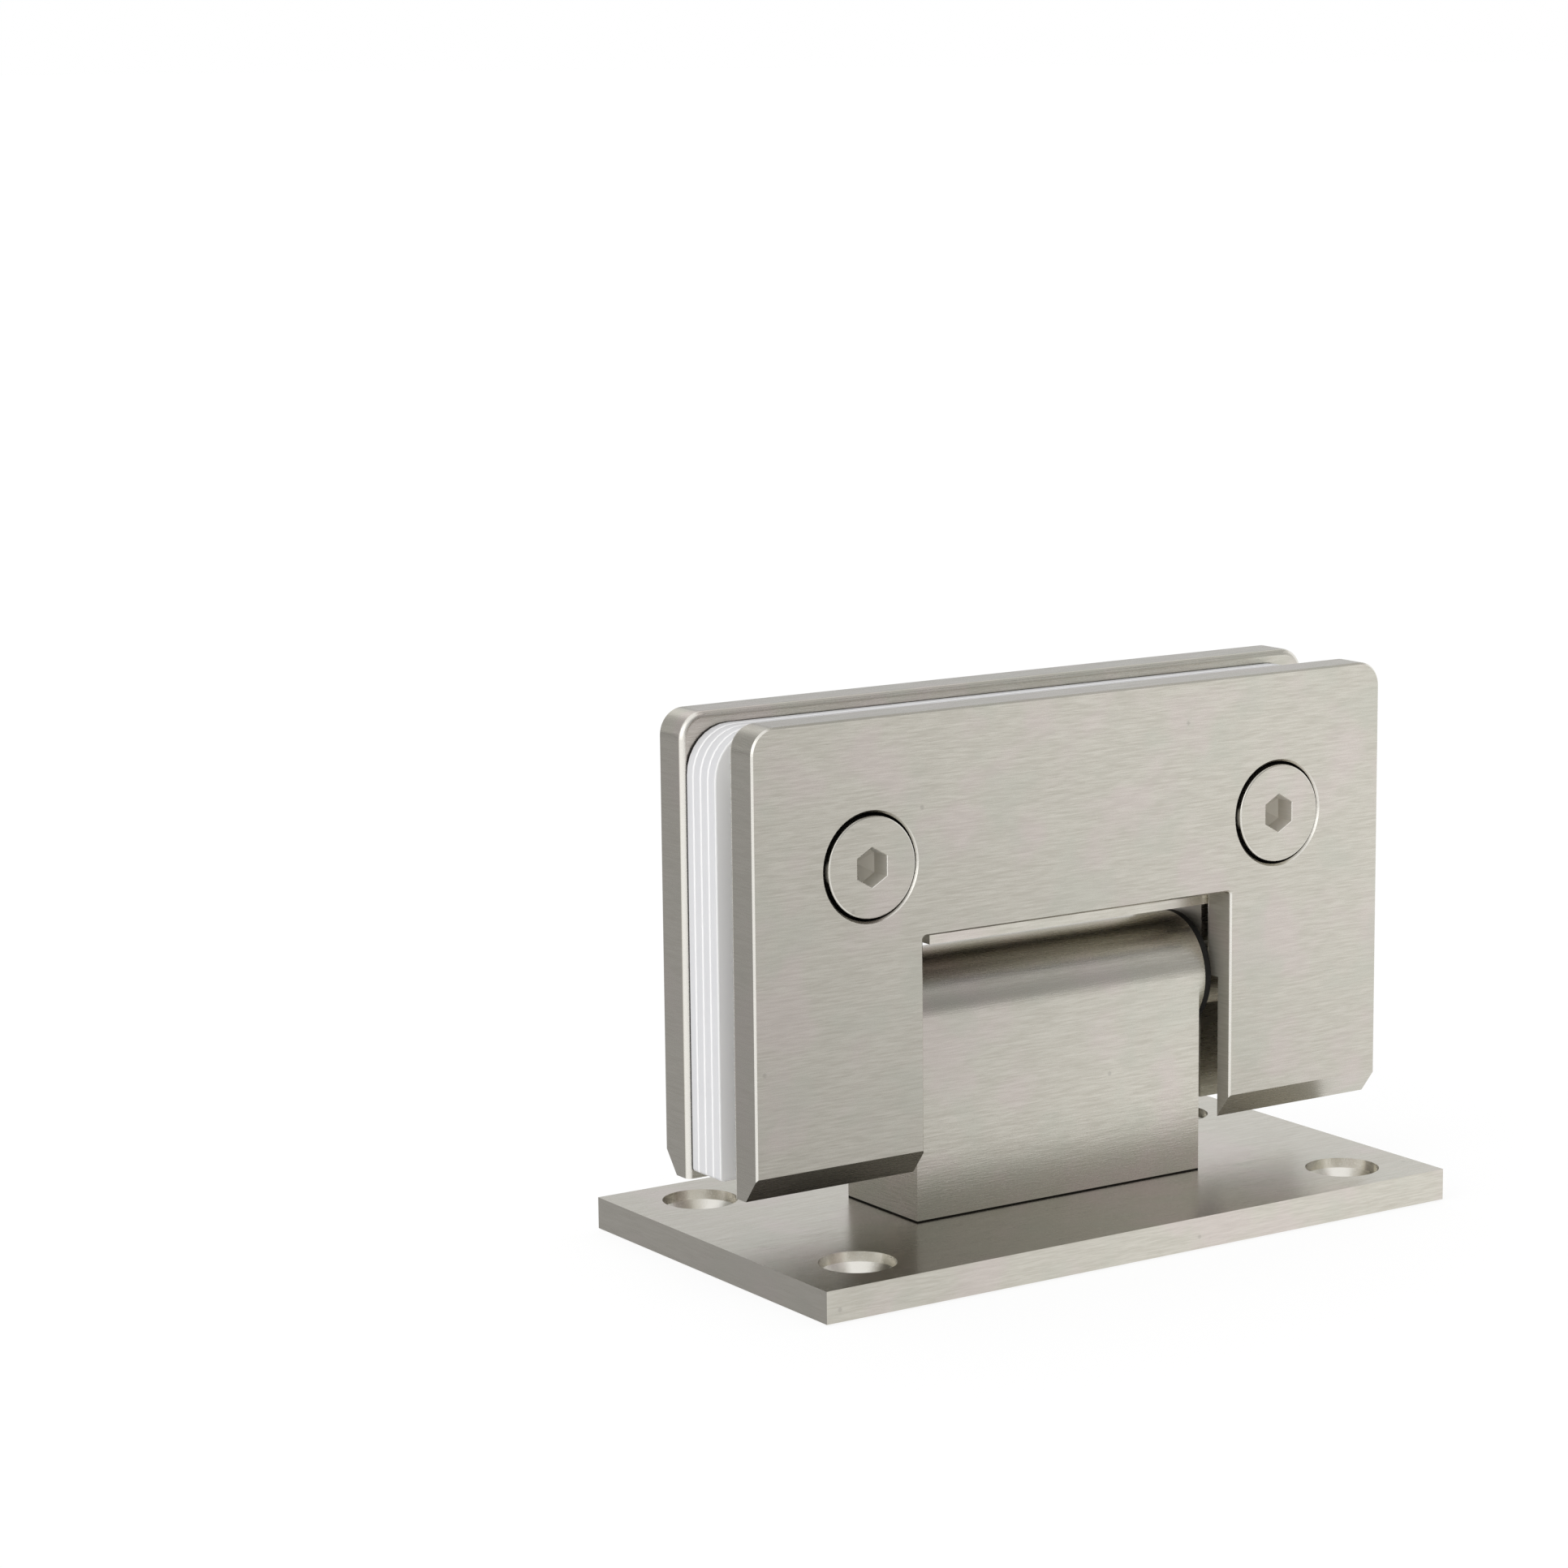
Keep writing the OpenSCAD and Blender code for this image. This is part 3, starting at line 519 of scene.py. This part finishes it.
# %% [markdown]
# The solids whose shape is already right keep their meshes and only change material. Each node
# is named here with its finish, so it is easy to see what stays and what is replaced further on.
# %% Finishes on the solids
SOLID_FINISH = {
    "wall_plate": plate_nickel, "hinge_block": block_nickel,
    "back_clamp_plate": back_nickel, "front_clamp_plate": front_nickel,
    "pivot_pin": pin_steel, "spring_seat": milled_brass,
    "spring_leaf_1": spring_steel, "spring_leaf_2": spring_steel, "spring_leaf_3": spring_steel,
    "bush_left": nylon, "bush_right": nylon, "thrust_washer": nylon,
}
for name, material in SOLID_FINISH.items():
    nodes[name].data.materials.clear()
    nodes[name].data.materials.append(material)
print("finished solids:", len(SOLID_FINISH))

# %% [markdown]
# The gaskets are four die-cut sheets of soft white vinyl. Their edges are not knife sharp: each
# one is slightly rounded, and the light caught there draws the bright and dark lines between the
# layers. A sheet like that is an outline that carries a small profile across the thickness, with
# flat faces between the outline and the holes. A Bevel modifier on a flat sheet could round it as
# well, but a profile that is worked out stays even at the corners and in the holes.
# %% Outlines with rounded corners
SHARP_FROM = math.radians(24)  # edges that turn by more than this stay sharp


def rounded_loop(corners, radii, steps=9):
    """Counter-clockwise points and outward normals of a polygon with rounded corners.

    A corner's arc has its centre on the corner's bisector, at radius / sin(half the corner's
    angle), and its normals turn evenly from one side's normal to the next one's.
    """
    corners, radii = np.array(corners, float), np.array(radii, float)[:, None]
    back, ahead = np.roll(corners, 1, 0) - corners, np.roll(corners, -1, 0) - corners
    back /= np.linalg.norm(back, axis=1, keepdims=True)
    ahead /= np.linalg.norm(ahead, axis=1, keepdims=True)
    half = np.arccos((back * ahead).sum(1, keepdims=True)) / 2
    bisector = (back + ahead) / np.linalg.norm(back + ahead, axis=1, keepdims=True)
    centres = corners + bisector * radii / np.sin(half)
    start = np.arctan2(back[:, 0], -back[:, 1])
    sweep = np.arctan2(-ahead[:, 0], ahead[:, 1]) - start
    sweep = (sweep + np.pi) % (2 * np.pi) - np.pi
    angles = start[:, None] + sweep[:, None] * np.linspace(0, 1, steps)
    normals = np.stack([np.cos(angles), np.sin(angles)], axis=-1)
    signed = (radii * np.sign(sweep)[:, None])[:, None]
    return (centres[:, None] + signed * normals).reshape(-1, 2), normals.reshape(-1, 2)


def round_hole(centre, radius, steps=48):
    """A clockwise circle, whose normals point to its centre: out of the sheet, into the hole."""
    angles = np.linspace(0, -2 * np.pi, steps, endpoint=False)
    rim = np.stack([np.cos(angles), np.sin(angles)], axis=-1)
    return np.array(centre) + radius * rim, -rim


def new_piece(name, points_mm, faces, material, body, node):
    """A mesh object from points in millimetres: finished, riding on its body and standing for its node."""
    data = bpy.data.meshes.new(name)
    data.from_pydata((points_mm * MM).tolist(), [], faces)
    data.shade_smooth()
    data.set_sharp_from_angle(angle=SHARP_FROM)
    data.materials.append(material)
    piece = bpy.data.objects.new(name, data)
    bpy.context.scene.collection.objects.link(piece)
    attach(piece, body)
    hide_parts(node)
    return piece


trial, _ = rounded_loop([(0, 0), (10, 0), (10, 10), (0, 10)], [1, 1, 1, 1])
print("a 10 mm square with 1 mm corners:", len(trial), "points from", trial.min(0), "to", trial.max(0))

# %% [markdown]
# One sheet is one closed surface. The outline and the two screw holes each carry the same edge
# profile from front to back, and the flat faces between them are filled with triangles. The outer
# size comes from the solid's box, and the notch leaves room for the lugs and the block, so the
# sheet lies just where its solid lay. The layers keep a hair of air between them.
# %% Gasket sheets
def sheet_surface(loops, front, back, edge):
    """Points and faces of a sheet between two depths.

    Across the thickness the profile is a quarter circle, a straight side and a quarter circle.
    Each loop's point moves inwards along its normal by the profile's inset, once for each row.
    """
    t = np.linspace(0, np.pi / 2, 5)
    inset = edge * np.concatenate([1 - np.sin(t), 1 - np.cos(t)])
    depth = np.concatenate([front + edge * (1 - np.cos(t)), back - edge * (1 - np.sin(t))])
    points, faces, front_rows, back_rows, count = [], [], [], [], 0
    for rim, normals in loops:
        n = len(rim)
        flat = rim[None] - normals[None] * inset[:, None, None]
        deep = np.broadcast_to(depth[:, None], flat.shape[:2])
        points.append(np.stack([flat[..., 0], deep, flat[..., 1]], -1).reshape(-1, 3))
        index = count + np.arange(len(inset) * n).reshape(-1, n)
        ahead = np.roll(index, -1, axis=1)
        faces += np.stack([index[:-1], index[1:], ahead[1:], ahead[:-1]], -1).reshape(-1, 4).tolist()
        front_rows.append(index[0])
        back_rows.append(index[-1])
        count += index.size
    points = np.concatenate(points)
    for rows, sign in ((front_rows, 1), (back_rows, -1)):
        order = np.concatenate(rows)
        outlines = [[Vector((points[i, 0], points[i, 2], 0)) for i in row] for row in rows]
        triangles = np.array(tessellate_polygon(outlines))
        corners = points[order][triangles][:, :, [0, 2]]
        one, two = corners[:, 1] - corners[:, 0], corners[:, 2] - corners[:, 0]
        area = one[:, 0] * two[:, 1] - one[:, 1] * two[:, 0]
        turned_over = np.where((area * sign > 0)[:, None], triangles, triangles[:, ::-1])
        faces += order[turned_over].tolist()
    return points, faces


NOTCH_HALF, NOTCH_TOP, CORNER_R, HOLE_R = 32.045, 40.8, 5.5, 3.7
FOOT_R, NOTCH_R, ROUND_EDGE, AIR = 0.5, 0.6, 0.22, 0.01
for number in range(1, 5):
    node = f"gasket_{number}"
    (x0, y0, z0), (x1, y1, z1) = box_mm(node)
    middle = (x0 + x1) / 2
    notch_x0, notch_x1 = middle - NOTCH_HALF, middle + NOTCH_HALF
    outline = rounded_loop(
        [(x0, z0), (notch_x0, z0), (notch_x0, NOTCH_TOP), (notch_x1, NOTCH_TOP),
         (notch_x1, z0), (x1, z0), (x1, z1), (x0, z1)],
        [FOOT_R, FOOT_R, NOTCH_R, NOTCH_R, FOOT_R, FOOT_R, CORNER_R, CORNER_R])
    holes = [round_hole((centre[0], centre[2]), HOLE_R) for centre in screw_places]
    points, faces = sheet_surface([outline] + holes, y0 + AIR, y1 - AIR, ROUND_EDGE)
    sheet = new_piece(f"vinyl_sheet_{number}", points, faces, vinyl, "glass_clamp", node)
    print(sheet.name, len(sheet.data.polygons), "faces")

# %% [markdown]
# A screw is one closed surface round an axis: from the tip of the drill cone at the bottom of its
# socket, up the six walls of the hexagon, out over the head and down the threaded shank. It is a
# grid of turn angle against place along that line. The socket's rows take their radius from a
# hexagon, the thread's rows from a ridge that climbs one pitch for each turn. Cylinders with a
# socket cut by a Boolean modifier would need the thread as a piece of its own.
# %% Screws
TURN_STEPS, PITCH_STEPS = 72, 12
FURROW, DRILL_CONE = 0.6, 0.25  # depths, as shares of the pitch and of the key's width
FLARE_DEPTH, FLARE = 0.07, 1.035  # the socket's mouth opens from this depth, to so many times its size
turn = np.linspace(0, 2 * np.pi, TURN_STEPS, endpoint=False)
hexagon = np.cos(np.pi / 6) / np.cos(turn % (np.pi / 3) - np.pi / 6)
print("hexagon: radius from", round(hexagon.min(), 3), "to", round(hexagon.max(), 3), "of its corners'")


def screw_surface(origin, along, across, length, key, key_depth, head, thread):
    """Points and faces of a screw; all lengths are in millimetres, and depths start at its face.

    The head is a list of depths and radii. The thread is its start, how far before the tip it
    ends, its radius, its pitch and the radius of the tip.
    Socket: corner radius times the hexagon's radius. Thread: the radius drops by 0.6 pitch at the
    furrows of a triangle wave in depth / pitch - turn / full circle, and runs out softly at both ends.
    """
    corner = key / math.sqrt(3)
    start, before_tip, radius, pitch, tip_radius = thread
    end = length - before_tip
    depths = np.arange(start, end, pitch / PITCH_STEPS)
    phase = (depths[:, None] / pitch - turn[None] / (2 * np.pi)) % 1
    ridge = np.clip(2.3 * np.abs(2 * phase - 1) - 0.65, 0, 1)
    run_out = np.clip(np.minimum(depths - start, end - depths) / pitch, 0, 1)[:, None]
    threads = radius - FURROW * pitch * (1 - ridge) * run_out
    socket = corner * hexagon[None] * np.array([1, 1, FLARE])[:, None]
    head_depths, head_radii = np.array(head, float).T
    rims = head_radii[:, None] * np.ones(TURN_STEPS)
    radii = np.concatenate([socket, rims, threads, np.full((1, TURN_STEPS), float(tip_radius))])
    rows = np.concatenate([[key_depth, FLARE_DEPTH, 0], head_depths, depths, [length]])
    along, across = np.array(along, float), np.array(across, float)
    second = np.cross(along, across)
    spokes = np.cos(turn)[:, None] * across + np.sin(turn)[:, None] * second
    grid = np.array(origin) + rows[:, None, None] * along + radii[..., None] * spokes
    poles = np.array(origin) + np.array([[key_depth + DRILL_CONE * key], [rows[-1]]]) * along
    points = np.concatenate([grid.reshape(-1, 3), poles])
    index = np.arange(radii.size).reshape(radii.shape)
    ahead = np.roll(index, -1, axis=1)
    faces = np.stack([index[:-1], ahead[:-1], ahead[1:], index[1:]], -1).reshape(-1, 4).tolist()
    faces += np.stack([np.full(TURN_STEPS, radii.size), ahead[0], index[0]], -1).tolist()
    faces += np.stack([index[-1], ahead[-1], np.full(TURN_STEPS, radii.size + 1)], -1).tolist()
    return points, faces


# %% [markdown]
# The two clamp screws are what the eye goes to: wide flat heads, brushed with the plate, with a
# crisp hexagon and only a thin broken edge. They sit in counterbores with a narrow ring of air
# around them, which painted shade in the plate's finish makes black.
# %% Clamp screws
TO_BACK, UPWARDS = (0, 1, 0), (0, 0, 1)
CLAMP_KEY, CLAMP_KEY_DEPTH, CLAMP_THREAD = 4, 2.6, (2.9, 0.6, 3, 1, 2.35)
CLAMP_HEAD = [(0, 3.4), (0, 5.7), (0.05, 5.8), (0.16, 5.85),
              (2.2, 5.85), (2.3, 5.75), (2.3, 3.2), (2.45, 3.0)]
for side, (x, _, z) in zip(("left", "right"), screw_places):
    node = f"clamp_screw_{side}"
    face, end = box_mm(node)[0][1], box_mm(node)[1][1]
    length = end - face
    points, faces = screw_surface((x, face, z), TO_BACK, UPWARDS, length,
                                  CLAMP_KEY, CLAMP_KEY_DEPTH, CLAMP_HEAD, CLAMP_THREAD)
    screw = new_piece(f"socket_screw_{side}", points, faces, front_nickel,
                      "glass_clamp", node)
    print(screw.name, len(screw.data.polygons), "faces, length", round(length, 2))

# %% [markdown]
# The other screws only show from below: two countersunk screws that hold the block, and two set
# screws in the lugs that bear on the pin. Their faces are turned, so each has rings about its own
# axis, which is why every one gets its own steel.
# %% Block screws and set screws
TO_RIGHT = (1, 0, 0)
BLOCK_KEY, BLOCK_KEY_DEPTH, BLOCK_THREAD = 3, 2, (3, 0.5, 2.5, 0.8, 2)
BLOCK_HEAD = [(0, 2.6), (0, 4.7), (0.1, 4.76), (2.28, 2.52), (2.4, 2.5)]
SET_KEY, SET_KEY_DEPTH, SET_THREAD = 2, 2, (0.25, 0.3, 2, 0.7, 1.5)
SET_HEAD = [(0, 1.3), (0, 1.6), (0.25, 1.9)]


def upright_screw(node, steel_name, *form):
    """The surface and steel of a screw that points up, in the middle of its node's box."""
    (x0, _, z0), (x1, _, z1) = box_mm(node)
    origin = ((x0 + x1) / 2, 0, z0)
    return (*screw_surface(origin, UPWARDS, TO_RIGHT, z1 - z0, *form),
            turned_steel(steel_name, origin, UPWARDS))


for side in ("left", "right"):
    node = f"block_screw_{side}"
    form = BLOCK_KEY, BLOCK_KEY_DEPTH, BLOCK_HEAD, BLOCK_THREAD
    points, faces, steel = upright_screw(node, f"turned_steel_block_{side}", *form)
    new_piece(f"countersunk_screw_{side}", points, faces, steel, "wall_side", node)
    node = f"pin_screw_{side}"
    form = SET_KEY, SET_KEY_DEPTH, SET_HEAD, SET_THREAD
    points, faces, steel = upright_screw(node, f"turned_steel_set_{side}", *form)
    new_piece(f"set_screw_{side}", points, faces, steel, "glass_clamp", node)

# %% [markdown]
# Metal shows whatever stands around it. The studio is a white room with soft grey flags, which
# are painted on the world by direction, so they never stand between a camera and the hinge. Each
# flag is a disc on the sky with a soft rim that takes light away, or adds a little to it. Cards
# and lamps would give the same reflections, but from some side they would show themselves.
# %% Studio light
WORLD_LEVEL = 1.0
FLAGS = [
    # direction, full within, gone beyond (degrees), change of level
    ((0.568, -0.446, 0.692), 3, 11, -0.92),
    ((0.568, 0.05, 0.82), 8, 28, -0.45),
    ((0.45, -0.85, 0.34), 14, 36, -0.3),
    ((0.05, -0.98, 0.20), 26, 46, -0.5),
    ((0.568, 0.802, 0.44), 10, 22, -0.25),
    ((-0.568, 0.80, 0.30), 20, 44, -0.5),
    ((-0.95, -0.30, 0.15), 24, 52, 0.6),
]
world = bpy.data.worlds.new("studio")
bpy.context.scene.world = world
world.use_nodes = True
sky = world.node_tree
direction = put(sky, "ShaderNodeTexCoord", {}).outputs["Generated"]
level = WORLD_LEVEL
for toward, inner, outer, change in FLAGS:
    aim = Vector(toward).normalized()
    closeness = vector_calc(sky, "DOT_PRODUCT", "Value", direction, aim)
    rim, core = math.cos(math.radians(outer)), math.cos(math.radians(inner))
    disc = ramp(sky, closeness, rim, core, 1.0, 1.0 + change)
    level = calc(sky, "MULTIPLY", disc, level)
sky.nodes["Background"].inputs["Color"].default_value = (1, 1, 1, 1)
sky.links.new(level, sky.nodes["Background"].inputs["Strength"])
bpy.context.scene.view_settings.view_transform = "Standard"
print("sky:", len(FLAGS), "flags, world nodes", len(sky.nodes))

# %% [markdown]
# The floor is a plain sheet of white paper that runs on for metres. What the camera and the metal
# see of it is lifted to white, but the part that is lit keeps the hinge's soft shadow. More light
# would whiten it too, and would bleach the metal with it.
# %% Floor
FLOOR_HALF, FLOOR_DROP = 15, 0.0002  # metres; the drop keeps it just clear of the wall plate
PAPER_GLOW, GLOW_SHARE = 1.06, 0.8
floor_data = bpy.data.meshes.new("floor")
floor_corners = [(a * FLOOR_HALF, b * FLOOR_HALF, 0) for a, b in ((-1, -1), (1, -1), (1, 1), (-1, 1))]
floor_data.from_pydata(floor_corners, [], [(0, 1, 2, 3)])
floor = bpy.data.objects.new("floor", floor_data)
floor.location.z = -FLOOR_DROP
bpy.context.scene.collection.objects.link(floor)
paper = bpy.data.materials.new("white_paper")
paper.use_nodes = True
sheet_tree = paper.node_tree
paper_shader = sheet_tree.nodes["Principled BSDF"]
paper_shader.inputs["Base Color"].default_value = (0.95, 0.95, 0.95, 1)
paper_shader.inputs["Roughness"].default_value = 1
paper_shader.inputs["Specular IOR Level"].default_value = 0
rays = put(sheet_tree, "ShaderNodeLightPath", {}).outputs
mirrored = calc(sheet_tree, "ADD", rays["Is Glossy Ray"], rays["Is Transmission Ray"])
seen = calc(sheet_tree, "ADD", rays["Is Camera Ray"], mirrored, clamp=True)
white = put(sheet_tree, "ShaderNodeEmission", {"Color": (1, 1, 1, 1), "Strength": PAPER_GLOW}).outputs[0]
share = calc(sheet_tree, "MULTIPLY", seen, GLOW_SHARE)
lifted = put(sheet_tree, "ShaderNodeMixShader", {0: share, 1: paper_shader.outputs[0], 2: white}).outputs[0]
sheet_tree.links.new(lifted, sheet_tree.nodes["Material Output"].inputs["Surface"])
floor_data.materials.append(paper)
print("floor:", 2 * FLOOR_HALF, "m wide,", round(FLOOR_DROP / MM, 2), "mm below the wall plate")
